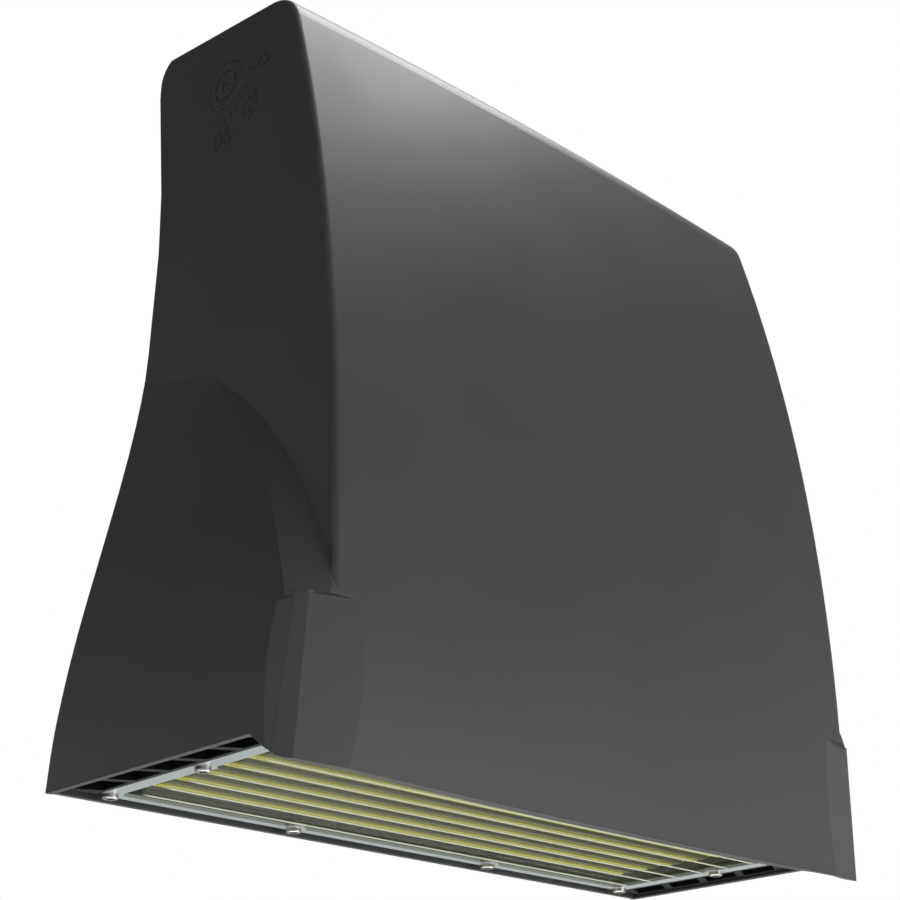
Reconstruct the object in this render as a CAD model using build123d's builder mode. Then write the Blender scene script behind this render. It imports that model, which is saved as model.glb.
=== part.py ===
from build123d import *
import os
from math import acos, asin, atan, cos, degrees, hypot, radians, sin, sqrt, tan

# Wall pack light. The head tilts on a wall box that it hides between its cheeks.
# Origin: middle of the wall plate on the wall plane, level with the tilt axis.
# +X to the right along the wall, +Y into the wall, +Z up. Millimetres.

os.makedirs("parts", exist_ok=True)

# ---- driving dimensions: outer form of the head -------------------------------------
axis_to_wall = 68.0  # tilt axis to the wall
wall_gap = 1.8  # lower rear edge of the head to the wall
lens_drop = 320.0  # tilt axis down to the mouth of the head
cheek_half = 159.0  # half width across the flat cheeks
skirt_flare = 21.0  # how far the skirt stands out over the cheek at its lower rear edge
skirt_toe = 1.0  # degrees that each skirt side closes towards the front
flare_start_drop = 121.0  # where the skirt leaves the cheek, under the axis
flare_end_rise = 9.3  # where the skirt stands straight again, over the mouth
front_reach = 155.3  # wall to the most forward line of the front, at the cheeks
front_reach_rise = 63.0  # that line over the mouth
front_axis_reach = 121.8  # wall to the front level with the tilt axis
front_bow = 4.0  # bulge of the front between the cheeks
top_rise = 34.6  # top over the tilt axis
top_slope = 7.6  # degrees that the top falls towards the front
top_round = 22.0  # round between the top and the front
rear_corner_round = 13.0
cheek_edge_round = 2.6
visor_drop = 13.5  # lip of the front under the mouth, in the middle
visor_bow = 3.1  # the lip is this much shorter at its corners
visor_start_behind = 22.3  # where the lower edge starts to fall, behind the front
visor_corner_behind = 8.3  # where it has fallen
lip_behind = 8.4  # inner edge of the lip behind the front, in the middle
lip_flat_share = 0.53  # part of the cheeks' width along which it is that thick
shell_wall = 3.0

# rear edge of the cheeks: depth from the wall at three levels
waist_depth = 22.4
waist_drop = 70.0
waist_foot_depth = 20.4
waist_foot_drop = 121.0
waist_top_depth = 20.8
waist_top_drop = 37.0
cheek_rear_depth = 13.6  # rear edge of the cheeks, upright above the level below
cheek_rear_level = 20.0

# raised arch of the skirt on each cheek
arch_centre_behind = 46.3  # arch centre behind the wall plane
arch_centre_fall = 5.4  # arch centre under the mouth
arch_foot_rise = 52.0  # foot of the arch over the mouth
arch_foot_front = 0.7  # foot of the arch in front of the front
arch_run = 10.3  # width of the bevel along the arch
arch_start_angle = 12.0  # first section of the arch, from straight up
arch_rise_angle = 27.0  # the bevel starts to gain height here
arch_swell = 1.45
arch_step = 1.0  # height of the bevel where it starts
arch_lip = 0.5
arch_sections = 12

# front corners of the head under the arches: three flats that meet the front and the skirt
shoulder_inside = 11.0  # first flat starts this far inside the cheek
shoulder_angle = 11.0
shoulder_rise = 0.0375  # forward lean of that flat
corner_inside = 4.4  # edge between the two other flats, inside the skirt's half width
corner_behind = 10.3  # and behind the front, level with the mouth
corner_lean_in = 0.078
corner_lean_front = 0.072
strip_angle = 35.0
side_strip_angle = 60.0

# ---- driving dimensions: tilt joint --------------------------------------------------
hub_radius = 12.4
hub_plate = 2.7
hub_proud = 0.2
hub_shank_radius = 10.0
running_gap = 0.06  # radial gap of the hub in its cheek
hub_key_across = 17.0
hub_key_depth = 7.0
hub_seat_floor = 2.7  # depth of the hub's seat in the cheek
cheek_boss_radius = 24.0
cheek_boss_gap = 0.3
washer_thickness = 1.3
washer_radius = 20.0
bolt_radius = 4.0
bolt_head_across = 13.0
bolt_head_height = 5.3
bolt_washer_thickness = 1.6
bolt_washer_radius = 8.5
bolt_reach = 11.0  # bolt into the hub past the end wall's face
tick_radius = 19.0  # middle of the tilt scale's marks
tick_length = 3.6
numeral_radius = 28.5
numeral_height = 9.5
numeral_pitch = 7.0
scale_relief = 0.4
pointer_ring = 7.5
pointer_length = 5.6

# ---- driving dimensions: wall box and plate -------------------------------------------
cheek_to_box = 17.0  # outer face of a cheek to the end of the wall box
front_to_drum = 13.8  # rolled front of the box behind the front, level with the axis
box_top_share = 0.8  # top of the box over the axis, as a part of the rolled front's radius
box_wall = 3.5
box_end_wall = 5.0
box_rim = 8.0
box_rim_thickness = 3.0
box_boss_radius = 16.0
box_boss_depth = 6.0
gasket_thickness = 1.5
plate_thickness = 2.0
plate_side_gap = 2.0
plate_flange_reach = 24.0
ground_inside = 28.0  # ground screw inside the end of the plate
wire_opening_radius = 18.0
box_screw_spacing = 88.9
box_slot_radius = 2.4
box_slot_length = 9.6
anchor_inside = 12.0  # anchor holes inside the end of the plate
anchor_spacing_z = 30.0
anchor_radius = 3.25
lock_inside = 32.0  # lock screws inside the end of the plate
lock_boss_radius = 6.5

# ---- driving dimensions: rear cover ---------------------------------------------------
cover_wall = 2.5
cover_foot_depth = 2.8  # wall to the lower edge of the cover
cover_head_depth = 26.6  # wall to the cover at its shelf
drum_gap = 2.0  # drum to the rolled part of the cover
shelf_drop = 58.0
riser_behind = 12.0  # riser of the shelf behind the tilt axis
throat_share = 0.81  # top edge of the cover in front of the axis, as a part of its roll
side_fit = 0.4  # pieces between the cheeks stay this far off them
cover_gasket = 1.0
cover_rib = 3.0
cover_rib_width = 9.0
cover_rib_foot = 17.0  # ribs start this far over the mouth
cover_screw_inset = 6.0
cover_screw_low = 40.0  # lowest pair of screws over the mouth
cover_boss_radius = 4.5
cover_boss_length = 13.0

# ---- driving dimensions: light engine in the mouth --------------------------------------
tray_recess = 1.5  # frame and tray stand this far inside the mouth
tray_height = 12.5
frame_side_gap = 19.5  # skirt's half width to the side edge of the lens frame
frame_rear = 8.8  # wall to the rear edge of the lens frame
frame_front_gap = 11.5  # front of the head to the front edge of the lens frame
frame_sheet = 1.5
frame_side_band = 7.5
frame_long_band = 5.0
frame_corner = 6.0
lobe_radius = 5.5
lens_sheet = 2.0
lens_edge = 0.8  # lens edge inside the frame's edge
rib_height = 2.5
rib_width = 11.5
row_count = 7
row_margin = 11.15  # edge of the frame to the first row's field
row_shift = 2.6  # rows sit this far off the middle of the frame, towards the wall
lens_gasket_sheet = 1.0
lens_gasket_width = 7.0
tray_ledge = 2.0
mouth_end = 10.5  # end of the tray's opening inside the frame's side edge
mouth_edge = 11.0  # edge of the tray's opening inside the frame's edge
pocket_count = 5
pocket_depth = 8.0
pocket_margin = 2.2
pocket_rib = 4.5
pocket_slant = 4.0
sink_plate = 4.0
sink_end = 1.0  # heat sink over the end of the tray's opening
sink_overlap = 4.0
fin_count = 11
fin_height = 14.0
fin_thickness = 2.0
board_end = 3.0  # end of a board inside the tray's opening
board_width = 10.0
board_sheet = 1.6
phosphor_end = 3.0  # end of a strip inside its board
phosphor_width = 5.0
phosphor_height = 0.8
frame_screw_end_inset = 4.3
frame_screw_mid_share = 0.386
frame_screw_edge_inset = 4.0
frame_screw_radius = 1.75
frame_screw_head = 3.4
frame_screw_head_height = 2.0
frame_screw_length = 10.0
sink_screw_radius = 1.25
sink_screw_end = 19.0  # last screw inside the end of the heat sink
sink_screw_count = 5
lug_rear_depth = 38.0  # wall to the rear lugs that carry the tray
lug_front_behind = 43.3  # front lugs behind the front of the head
lug_length = 14.0
lug_height = 5.5
lug_reach = 14.0
tray_screw_inset = 9.0

# ---- driving dimensions: driver and wiring ----------------------------------------------
bracket_end_gap = 34.0  # cheek's face to the end of the bracket
bracket_width = 128.0
bracket_sheet = 1.5
bracket_standoff = 8.0
bracket_hole_edge = 9.0
bracket_drop = 190.0  # middle of the bracket under the axis
driver_end_gap = 27.0  # end of the bracket to the end of the driver
driver_width = 62.0
driver_height = 35.0
driver_ear = 10.0
driver_ear_sheet = 2.5
driver_offset = 26.0
surge_length = 56.0
surge_width = 34.0
surge_height = 24.0
surge_offset = -38.0
lead_radius = 3.2
gland_radius = 6.5
gland_flange = 2.5
vent_radius = 7.0

# ---- derived places ----------------------------------------------------------------------
mouth = -lens_drop
skirt_half = cheek_half + skirt_flare
flare_end_drop = lens_drop - flare_end_rise
front_reach_drop = lens_drop - front_reach_rise
front_fall = front_reach - front_axis_reach
front_radius = (front_reach_drop**2 + front_fall**2) / (2 * front_fall)
visor_start = front_reach - visor_start_behind
visor_corner = front_reach - visor_corner_behind
box_half = cheek_half - cheek_to_box
drum_radius = front_axis_reach - axis_to_wall - front_to_drum
box_top = box_top_share * drum_radius
plate_half = box_half - box_rim - plate_side_gap
ground_x = plate_half - ground_inside
anchor_spacing_x = 2 * (plate_half - anchor_inside)
lock_screw_spacing = 2 * (plate_half - lock_inside)
throat_reach = throat_share * (drum_radius + drum_gap)
cover_screw_drops = (75.0, 125.0, 200.0, lens_drop - cover_screw_low)
frame_half = skirt_half - frame_side_gap
frame_front = front_reach - frame_front_gap
mouth_half = frame_half - mouth_end
sink_half = mouth_half + sink_end
board_half = mouth_half - board_end
phosphor_half = board_half - phosphor_end
lug_depths = (lug_rear_depth, front_reach - lug_front_behind)
bracket_length = 2 * (cheek_half - bracket_end_gap)
driver_length = bracket_length - 2 * driver_end_gap
arch_centre_drop = lens_drop + arch_centre_fall
arch_foot_drop = lens_drop - arch_foot_rise
arch_foot_reach = front_reach + arch_foot_front + arch_centre_behind
arch_radius = hypot(arch_foot_reach, arch_centre_drop - arch_foot_drop)
arch_foot_angle = degrees(acos((arch_centre_drop - arch_foot_drop) / arch_radius))
bow_radius = cheek_half**2 / (2 * front_bow) + front_bow / 2
bow_centre_y = bow_radius - front_reach - front_bow
bow_sweep = degrees(asin((skirt_half + 10) / bow_radius))
below_all = mouth - 40
above_all = top_rise + 40
in_front_of_all = front_reach + 60
beyond_side = skirt_half + 30


def top_level(depth, inset=0.0):
    """Level of the top at a distance from the wall, lowered square to it by inset."""
    fall = (depth - axis_to_wall) * tan(radians(top_slope))
    return top_rise - fall - inset / cos(radians(top_slope))


def skirt_half_at(drop):
    """Half width of the skirt at the rear, at a distance under the tilt axis."""
    step = (drop - flare_start_drop) / (flare_end_drop - flare_start_drop)
    step = min(max(step, 0.0), 1.0)
    return cheek_half + (skirt_half - cheek_half) * step**2 * (3 - 2 * step)


def front_block(inset):
    """Everything behind the bowed front and under the top, wider than the head."""
    far = Plane(
        origin=(0, bow_centre_y, 0),
        x_dir=(sin(radians(-bow_sweep)), -cos(radians(-bow_sweep)), 0),
        z_dir=(-cos(radians(-bow_sweep)), -sin(radians(-bow_sweep)), 0),
    )
    behind = bow_centre_y - 60
    ahead = bow_radius + 60
    with BuildPart() as block:
        with BuildSketch(far):
            with Locations((bow_radius - front_radius, -front_reach_drop)):
                Circle(front_radius - inset)
            with BuildLine():
                Polyline(
                    (behind, below_all),
                    (ahead, below_all),
                    (ahead, top_level(ahead - bow_centre_y, inset)),
                    (behind, top_level(behind - bow_centre_y, inset)),
                    close=True,
                )
            make_face(mode=Mode.INTERSECT)
            fillet(vertices().sort_by(Axis.X)[2], radius=top_round - inset)
        revolve(axis=Axis((0, bow_centre_y, 0), (0, 0, 1)), revolution_arc=2 * bow_sweep)
    return block.part


def flare_side(inset, root):
    """Everything inside the flared right hand side, from a distance off the middle."""
    toe = radians(skirt_toe)
    flare_plane = Plane(
        origin=(0, -wall_gap, 0),
        x_dir=(cos(toe), -sin(toe), 0),
        z_dir=(-sin(toe), -cos(toe), 0),
    )
    steps = 8
    drops = [
        flare_start_drop + (flare_end_drop - flare_start_drop) * i / steps for i in range(steps + 1)
    ]
    with BuildPart() as flare:
        with BuildSketch(flare_plane):
            with BuildLine():
                edge = Spline(
                    *[(skirt_half_at(drop) - inset, -drop) for drop in drops],
                    tangents=((0, -1), (0, -1)),
                )
                Polyline(
                    edge @ 1,
                    ((edge @ 1).X, below_all),
                    (root, below_all),
                    (root, above_all),
                    ((edge @ 0).X, above_all),
                    edge @ 0,
                )
            make_face()
        extrude(amount=in_front_of_all, both=True)
    return flare.part


def bevel_height(turn):
    """Height of the arch's bevel over the cheek, at an angle from straight up."""
    foot_depth = front_reach - arch_run
    full = skirt_half_at(arch_foot_drop) - cheek_half - foot_depth * tan(radians(skirt_toe))
    full = full + arch_step
    step = (turn - arch_rise_angle) / (arch_foot_angle - arch_rise_angle)
    return arch_step + (full - arch_step) * max(step, 0.0) ** arch_swell


def arch_wheel(inset):
    """Sector about the arch's centre, its rim bevelled higher and higher to the foot."""
    edge = cheek_half - inset
    root = edge - 12
    core = arch_centre_behind
    beyond = skirt_half + 8
    radius = arch_radius - inset / 2
    with BuildPart() as wheel:
        for index in range(arch_sections):
            share = index / (arch_sections - 1)
            turn = arch_start_angle + (arch_foot_angle - arch_start_angle) * share
            back = radians(turn)
            spoke = Plane(
                origin=(0, arch_centre_behind, -arch_centre_drop),
                x_dir=(1, 0, 0),
                z_dir=(0, -cos(back), -sin(back)),
            )
            with BuildSketch(spoke):
                Polygon(
                    (root, core),
                    (beyond, core),
                    (beyond, radius - arch_run - arch_lip),
                    (edge + bevel_height(turn), radius - arch_run),
                    (edge + arch_lip, radius - arch_lip / 2),
                    (edge, radius),
                    (root, radius),
                    align=None,
                )
        loft()
    return wheel.part


def behind_flat(point, across, rise, inset):
    """Block behind the flat through a point along two directions, set in square to it."""
    normal = across.cross(rise).normalized()
    flat = Plane(origin=point - normal * inset, x_dir=across, z_dir=normal)
    size = 4 * in_front_of_all
    with BuildPart() as block:
        with Locations(flat.location):
            Box(size, size, size, align=(Align.CENTER, Align.CENTER, Align.MAX))
    return block.part


def right_limit(inset):
    """Everything inside the flared side and the three flats of the right front corner."""
    shoulder_x = cheek_half - shoulder_inside
    shoulder_depth = front_reach + front_bow * (1 - (shoulder_x / cheek_half) ** 2)
    shoulder = Vector(shoulder_x, -shoulder_depth, mouth + front_reach_rise)
    corner = Vector(skirt_half - corner_inside, -front_reach + corner_behind, mouth)
    rise = Vector(-corner_lean_in, -corner_lean_front, 1)
    with BuildPart() as limit:
        add(flare_side(inset, -beyond_side))
        add(
            behind_flat(
                shoulder,
                Vector(1, tan(radians(shoulder_angle)), 0),
                Vector(0, -shoulder_rise, 1),
                inset,
            ),
            mode=Mode.INTERSECT,
        )
        for angle in (strip_angle, side_strip_angle):
            across = Vector(cos(radians(angle)), sin(radians(angle)), 0)
            add(behind_flat(corner, across, rise, inset), mode=Mode.INTERSECT)
    return limit.part


def head_form(inset):
    """Closed form of the head, set in on every side, open towards wall and floor."""
    block = front_block(inset)
    with BuildPart() as pad:
        add(flare_side(inset, cheek_half - inset - 12))
        add(arch_wheel(inset), mode=Mode.INTERSECT)
        add(block, mode=Mode.INTERSECT)
    limit = right_limit(inset)
    with BuildPart() as lower:
        add(block)
        with Locations((0, 0, -arch_foot_drop - inset)):
            Box(
                4 * beyond_side,
                4 * in_front_of_all,
                4 * in_front_of_all,
                align=(Align.CENTER, Align.CENTER, Align.MAX),
                mode=Mode.INTERSECT,
            )
        add(limit, mode=Mode.INTERSECT)
        add(limit.mirror(Plane.YZ), mode=Mode.INTERSECT)
    with BuildPart() as form:
        add(block)
        with Locations((0, 0, -arch_foot_drop - 2 * inset)):
            Box(
                2 * (cheek_half - inset),
                4 * in_front_of_all,
                4 * in_front_of_all,
                align=(Align.CENTER, Align.CENTER, Align.MIN),
                mode=Mode.INTERSECT,
            )
        if inset == 0:
            side_edges = edges().filter_by(Plane.YZ).filter_by(
                lambda e: abs(abs(e.center().X) - cheek_half) < 0.01
                and e.center().Z > 1 - arch_foot_drop
                and e.center().Y < 50
            )
            fillet(side_edges, radius=cheek_edge_round)
        add(lower.part)
        add(pad.part)
        add(pad.part.mirror(Plane.YZ))
    return form.part


# ---- shared views and helpers -----------------------------------------------------------
side_view = Plane(origin=(0, 0, 0), x_dir=(0, -1, 0), z_dir=(-1, 0, 0))
sides = (-1, 1)
cover_lean = degrees(atan((cover_head_depth - cover_foot_depth) / (lens_drop - shelf_drop)))
frame_middle = -(frame_rear + frame_front) / 2
frame_depth = frame_front - frame_rear
thread_fit = 0.05


def level(height):
    """Plan view at a height over the mouth, its middle under the middle of the frame."""
    return Plane(origin=(0, frame_middle, mouth + height))


def cheek_view(side, from_middle):
    """View square onto a cheek from outside, centred on the tilt axis, X to the front."""
    if side < 0:
        return Plane(origin=(-from_middle, -axis_to_wall, 0), x_dir=(0, -1, 0), z_dir=(-1, 0, 0))
    return Plane(origin=(from_middle, -axis_to_wall, 0), x_dir=(0, -1, 0), z_dir=(1, 0, 0))


def cover_depth(drop):
    """Distance from the wall to the outer face of the rear cover."""
    rise = (lens_drop - drop) * tan(radians(cover_lean))
    return cover_foot_depth + rise


def on_cover(drop, lift=0.0):
    """Plane on the slanted cover, facing into the head, lifted off its outer face."""
    lean = radians(cover_lean)
    plane = Plane(
        origin=(0, -cover_depth(drop), -drop),
        x_dir=(1, 0, 0),
        z_dir=(0, -cos(lean), -sin(lean)),
    )
    return plane.offset(lift)


def cover_layer(near, far, foot):
    """Layer of the rear cover's run between two depths in from its outer face."""
    roll = drum_radius + drum_gap
    lip_rise = sqrt(roll**2 - throat_reach**2)
    riser_drop = sqrt(roll**2 - riser_behind**2)
    middle = roll * sqrt(0.5)
    axis_depth = axis_to_wall
    with BuildPart() as layer:
        with BuildSketch(side_view):
            with BuildLine():
                Polyline(
                    (cover_depth(lens_drop + 40), mouth - 40),
                    (cover_head_depth, -shelf_drop),
                    (axis_depth - riser_behind, -shelf_drop),
                    (axis_depth - riser_behind, -riser_drop),
                )
                ThreePointArc(
                    (axis_depth - riser_behind, -riser_drop),
                    (axis_depth + middle, -middle),
                    (axis_depth + throat_reach, lip_rise),
                )
                Polyline(
                    (axis_depth + throat_reach, lip_rise),
                    (axis_depth + throat_reach, above_all),
                    (in_front_of_all, above_all),
                    (in_front_of_all, mouth - 40),
                    (cover_depth(lens_drop + 40), mouth - 40),
                )
            inside = make_face()
            if near > 0:
                offset(inside, amount=-near, mode=Mode.REPLACE, kind=Kind.INTERSECTION)
            offset(inside, amount=-far, mode=Mode.SUBTRACT, kind=Kind.INTERSECTION)
        extrude(amount=beyond_side, both=True)
        with Locations((0, 0, mouth + foot)):
            Box(
                2 * beyond_side,
                2 * in_front_of_all,
                lens_drop + 200,
                align=(Align.CENTER, Align.CENTER, Align.MIN),
                mode=Mode.INTERSECT,
            )
    return layer.part


def cross_screw(radius, length, head_radius, head_height):
    """Cross head screw along +Z, its head's underside at zero, its shank above."""
    drive = head_radius * 0.62
    with BuildPart() as made:
        Cylinder(radius, length, align=(Align.CENTER, Align.CENTER, Align.MIN))
        Cylinder(head_radius, head_height, align=(Align.CENTER, Align.CENTER, Align.MAX))
        fillet(edges().filter_by(GeomType.CIRCLE).sort_by(Axis.Z)[0], radius=head_height * 0.4)
        with Locations((0, 0, -head_height)):
            Box(2 * drive, drive / 2, head_height, mode=Mode.SUBTRACT)
            Box(drive / 2, 2 * drive, head_height, mode=Mode.SUBTRACT)
    return made.part


def flat_screw(radius, length, head_radius, head_height):
    """Flush cross head screw along +Z, its head's face at zero."""
    drive = head_radius * 0.62
    with BuildPart() as made:
        Cylinder(radius, length, align=(Align.CENTER, Align.CENTER, Align.MIN))
        Cone(head_radius, radius, head_height, align=(Align.CENTER, Align.CENTER, Align.MIN))
        Box(2 * drive, drive / 2, head_height, mode=Mode.SUBTRACT)
        Box(drive / 2, 2 * drive, head_height, mode=Mode.SUBTRACT)
    return made.part


def numeral(figure, across):
    """Plain numeral, drawn 4 wide and 7 high, scaled, then moved sideways."""
    pen = 0.85
    with BuildSketch() as drawn:
        if figure == "0":
            Ellipse(2.2, 3.5)
            Ellipse(2.2 - pen, 3.5 - pen, mode=Mode.SUBTRACT)
        if figure == "9":
            with Locations((0, 1.3)):
                Circle(2.2)
                Circle(2.2 - pen, mode=Mode.SUBTRACT)
            Polygon((2.2, 1.3), (1.1, -3.5), (0.1, -3.5), (2.2 - pen, 1.3), align=None)
        if figure == "4":
            Polygon((0.7, 3.5), (1.6, 3.5), (1.6, -3.5), (0.7, -3.5), align=None)
            Polygon((-2.4, -1.1), (2.4, -1.1), (2.4, -2.0), (-2.4, -2.0), align=None)
            Polygon((-2.4, -1.1), (0.7, 3.5), (0.9, 2.3), (-1.3, -1.1), align=None)
        if figure == "5":
            with Locations((-0.2, -1.3)):
                Circle(2.2)
                Circle(2.2 - pen, mode=Mode.SUBTRACT)
            with Locations((-1.9, -1.3)):
                Rectangle(1.6, 1.6, mode=Mode.SUBTRACT)
            Polygon((-1.9, 3.5), (1.9, 3.5), (1.9, 2.6), (-1.9, 2.6), align=None)
            Polygon((-1.9, 3.5), (-1.0, 3.5), (-1.0, 0.2), (-1.9, 0.2), align=None)
    return Pos(across, 0) * drawn.sketch.scale(numeral_height / 7)


def frame_outline(grow, corner=frame_corner):
    """Rounded outline of the lens frame, grown on every side, in a plan sketch."""
    with BuildSketch() as drawn:
        RectangleRounded(2 * (frame_half + grow), frame_depth + 2 * grow, corner + grow)
    return drawn.sketch


def save(piece, name):
    """Writes one piece of the lamp to its own file."""
    piece.label = name
    export_step(piece, f"parts/{name}.step")


frame_screw_x = frame_half - frame_screw_end_inset
frame_screw_y = frame_depth / 2 - frame_screw_edge_inset
frame_screw_mid = frame_screw_mid_share * frame_screw_x
frame_screw_places = [
    (x, y)
    for y in (-frame_screw_y, frame_screw_y)
    for x in (-frame_screw_x, -frame_screw_mid, frame_screw_mid, frame_screw_x)
] + [(-frame_screw_x, 0), (frame_screw_x, 0)]
row_pitch = (frame_depth - 2 * row_margin) / row_count
rows = [row_shift + (index - (row_count - 1) / 2) * row_pitch for index in range(row_count)]
wall_outer = head_form(0)
wall_inner = head_form(shell_wall)
close_inner = head_form(shell_wall + side_fit)

# heights over the mouth
frame_low = tray_recess
lens_low = frame_low + frame_sheet
lens_top = lens_low + lens_sheet
ledge_low = lens_top + lens_gasket_sheet
ledge_top = ledge_low + tray_ledge
tray_top = tray_recess + tray_height
sink_top = ledge_top + sink_plate
board_low = ledge_top - board_sheet
phosphor_low = board_low - phosphor_height
tray_gap = 0.3
sink_depth = frame_depth - 2 * mouth_edge + 2 * sink_overlap
sink_screw_spacing = 2 * (sink_half - sink_screw_end) / (sink_screw_count - 1)
sink_screw_places = [
    ((index - (sink_screw_count - 1) / 2) * sink_screw_spacing, y)
    for index in range(sink_screw_count)
    for y in (-(sink_depth - sink_overlap) / 2, (sink_depth - sink_overlap) / 2)
]
lug_low = tray_top + tray_gap
tray_screw_radius = 2.0
tray_screw_length = lug_height + tray_gap + 3.6
tray_screw_places = [
    (side * (skirt_half - shell_wall - tray_screw_inset), -depth)
    for side in sides
    for depth in lug_depths
]

# screws of the rear cover: side, level, and their way across
cover_screw_places = [
    (side * (skirt_half_at(drop) - shell_wall - side_fit - cover_screw_inset), drop)
    for side in sides
    for drop in cover_screw_drops
]
cover_screw_radius = 1.75
cover_screw_head = 3.4
cover_screw_sink = 1.6
cover_rib_low = cover_wall + cover_gasket

# inside of the housing, down to the thick lip in front of the lens
lip_half = cheek_half - 4
lip_inner = front_reach - lip_behind
with BuildPart() as hollow:
    add(wall_inner)
    with BuildSketch(Plane(origin=(0, 0, mouth + tray_recess - tray_gap))):
        Polygon(
            (-lip_half, -front_reach + shell_wall),
            (-lip_half * lip_flat_share, -lip_inner),
            (lip_half * lip_flat_share, -lip_inner),
            (lip_half, -front_reach + shell_wall),
            (lip_half, -in_front_of_all),
            (-lip_half, -in_front_of_all),
            align=None,
        )
    extrude(amount=-60, mode=Mode.SUBTRACT)

# ---- housing: front, top, cheeks and skirts in one casting ------------------------------
with BuildPart() as housing:
    add(wall_outer)
    with BuildSketch(side_view):
        lip_fall = visor_drop - visor_bow
        with BuildLine():
            Polyline(
                (wall_gap, mouth),
                (visor_start, mouth),
                (visor_start + (visor_corner - visor_start) * 20 / lip_fall, mouth - 20),
                (in_front_of_all, mouth - 20),
                (in_front_of_all, above_all),
                (cheek_rear_depth, above_all),
                (cheek_rear_depth, cheek_rear_level),
                (waist_top_depth, -waist_top_drop),
                (waist_depth, -waist_drop),
                (waist_foot_depth, -waist_foot_drop),
                close=True,
            )
        make_face()
    extrude(amount=beyond_side, both=True, mode=Mode.INTERSECT)
    with BuildSketch(Plane.XZ):
        lip_rise_out = visor_bow * (beyond_side / (skirt_half - 12)) ** 2
        with BuildLine():
            ThreePointArc(
                (-beyond_side, mouth - visor_drop + lip_rise_out),
                (0, mouth - visor_drop),
                (beyond_side, mouth - visor_drop + lip_rise_out),
            )
            Polyline(
                (beyond_side, mouth - visor_drop + lip_rise_out),
                (beyond_side, above_all),
                (-beyond_side, above_all),
                (-beyond_side, mouth - visor_drop + lip_rise_out),
            )
        make_face()
    extrude(amount=2 * in_front_of_all, both=True, mode=Mode.INTERSECT)
    add(hollow.part, mode=Mode.SUBTRACT)
    # round upper rear corner of both cheeks
    corner_depth = cheek_rear_depth + rear_corner_round
    slope = radians(top_slope)
    corner_level = top_level(corner_depth, rear_corner_round)
    with BuildSketch(side_view):
        Polygon(
            (-rear_corner_round, corner_level),
            (corner_depth, corner_level),
            (
                corner_depth + 3 * rear_corner_round * sin(slope),
                corner_level + 3 * rear_corner_round * cos(slope),
            ),
            (-rear_corner_round, corner_level + 3 * rear_corner_round),
            align=None,
        )
        with Locations((corner_depth, corner_level)):
            Circle(rear_corner_round, mode=Mode.SUBTRACT)
    extrude(amount=beyond_side, both=True, mode=Mode.SUBTRACT)
    # the wall box stands in the throat behind the front of the top
    with Locations((0, -(axis_to_wall + throat_reach) / 2, above_all / 2)):
        Box(
            2 * (cheek_half - shell_wall),
            axis_to_wall + throat_reach,
            above_all,
            mode=Mode.SUBTRACT,
        )
    # seat of the rear cover along cheeks and top
    seat = (
        head_form(shell_wall - 0.1)
        & cover_layer(cover_rib_low, cover_rib_low + cover_rib, cover_rib_foot)
    ) - head_form(shell_wall + cover_rib_width)
    add(seat)
    for x, drop in cover_screw_places:
        side = 1 if x > 0 else -1
        with BuildSketch(on_cover(drop, cover_rib_low)):
            with Locations((x, 0)):
                Circle(cover_boss_radius)
            with Locations((x + side * cover_screw_inset / 2, 0)):
                Rectangle(cover_screw_inset + 1.5, 2 * cover_boss_radius)
        extrude(amount=cover_boss_length)
    # bosses and seats of the tilt joint
    for side in sides:
        with BuildSketch(cheek_view(side, box_half + washer_thickness + cheek_boss_gap)):
            Circle(cheek_boss_radius)
        extrude(amount=cheek_half - box_half - washer_thickness - cheek_boss_gap - 1)
    for x in (-1, 1):
        with BuildSketch(cheek_view(x, cheek_half)):
            Circle(hub_radius + 0.35)
        extrude(amount=-hub_seat_floor, mode=Mode.SUBTRACT)
        with BuildSketch(cheek_view(x, cheek_half)):
            Circle(hub_shank_radius + running_gap)
        extrude(amount=-(cheek_half - box_half), mode=Mode.SUBTRACT)
    # lugs that carry the light tray
    for depth in lug_depths:
        lug_outside = skirt_half - depth * tan(radians(skirt_toe)) - shell_wall / 2
        for side in sides:
            with Locations((side * (lug_outside - lug_reach / 2), -depth, mouth + lug_low)):
                Box(lug_reach, lug_length, lug_height, align=(Align.CENTER, Align.CENTER, Align.MIN))
    for x, y in tray_screw_places:
        with Locations((x, y, mouth + lug_low)):
            Cylinder(tray_screw_radius + thread_fit, 3 * lug_height, mode=Mode.SUBTRACT)
    for x, drop in cover_screw_places:
        with BuildSketch(on_cover(drop)):
            with Locations((x, 0)):
                Circle(cover_screw_radius + thread_fit)
        extrude(amount=cover_rib_low + cover_boss_length - 1, mode=Mode.SUBTRACT)
    # tilt scale beside the left hub
    scale_view = cheek_view(-1, cheek_half)
    with BuildSketch(scale_view):
        with PolarLocations(tick_radius, 7, start_angle=-90, angular_range=90, endpoint=True):
            Rectangle(tick_length, 0.8)
        for figures, angle in (("0", 0), ("45", -45), ("90", -90)):
            spread = numeral_pitch * (len(figures) - 1) / 2
            for index, figure in enumerate(figures):
                drawn = numeral(figure, index * numeral_pitch - spread)
                add(Rot(0, 0, angle) * Pos(numeral_radius, 0) * Rot(0, 0, -90) * drawn)
    extrude(amount=-scale_relief, mode=Mode.SUBTRACT)
save(housing.part, "housing")

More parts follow.
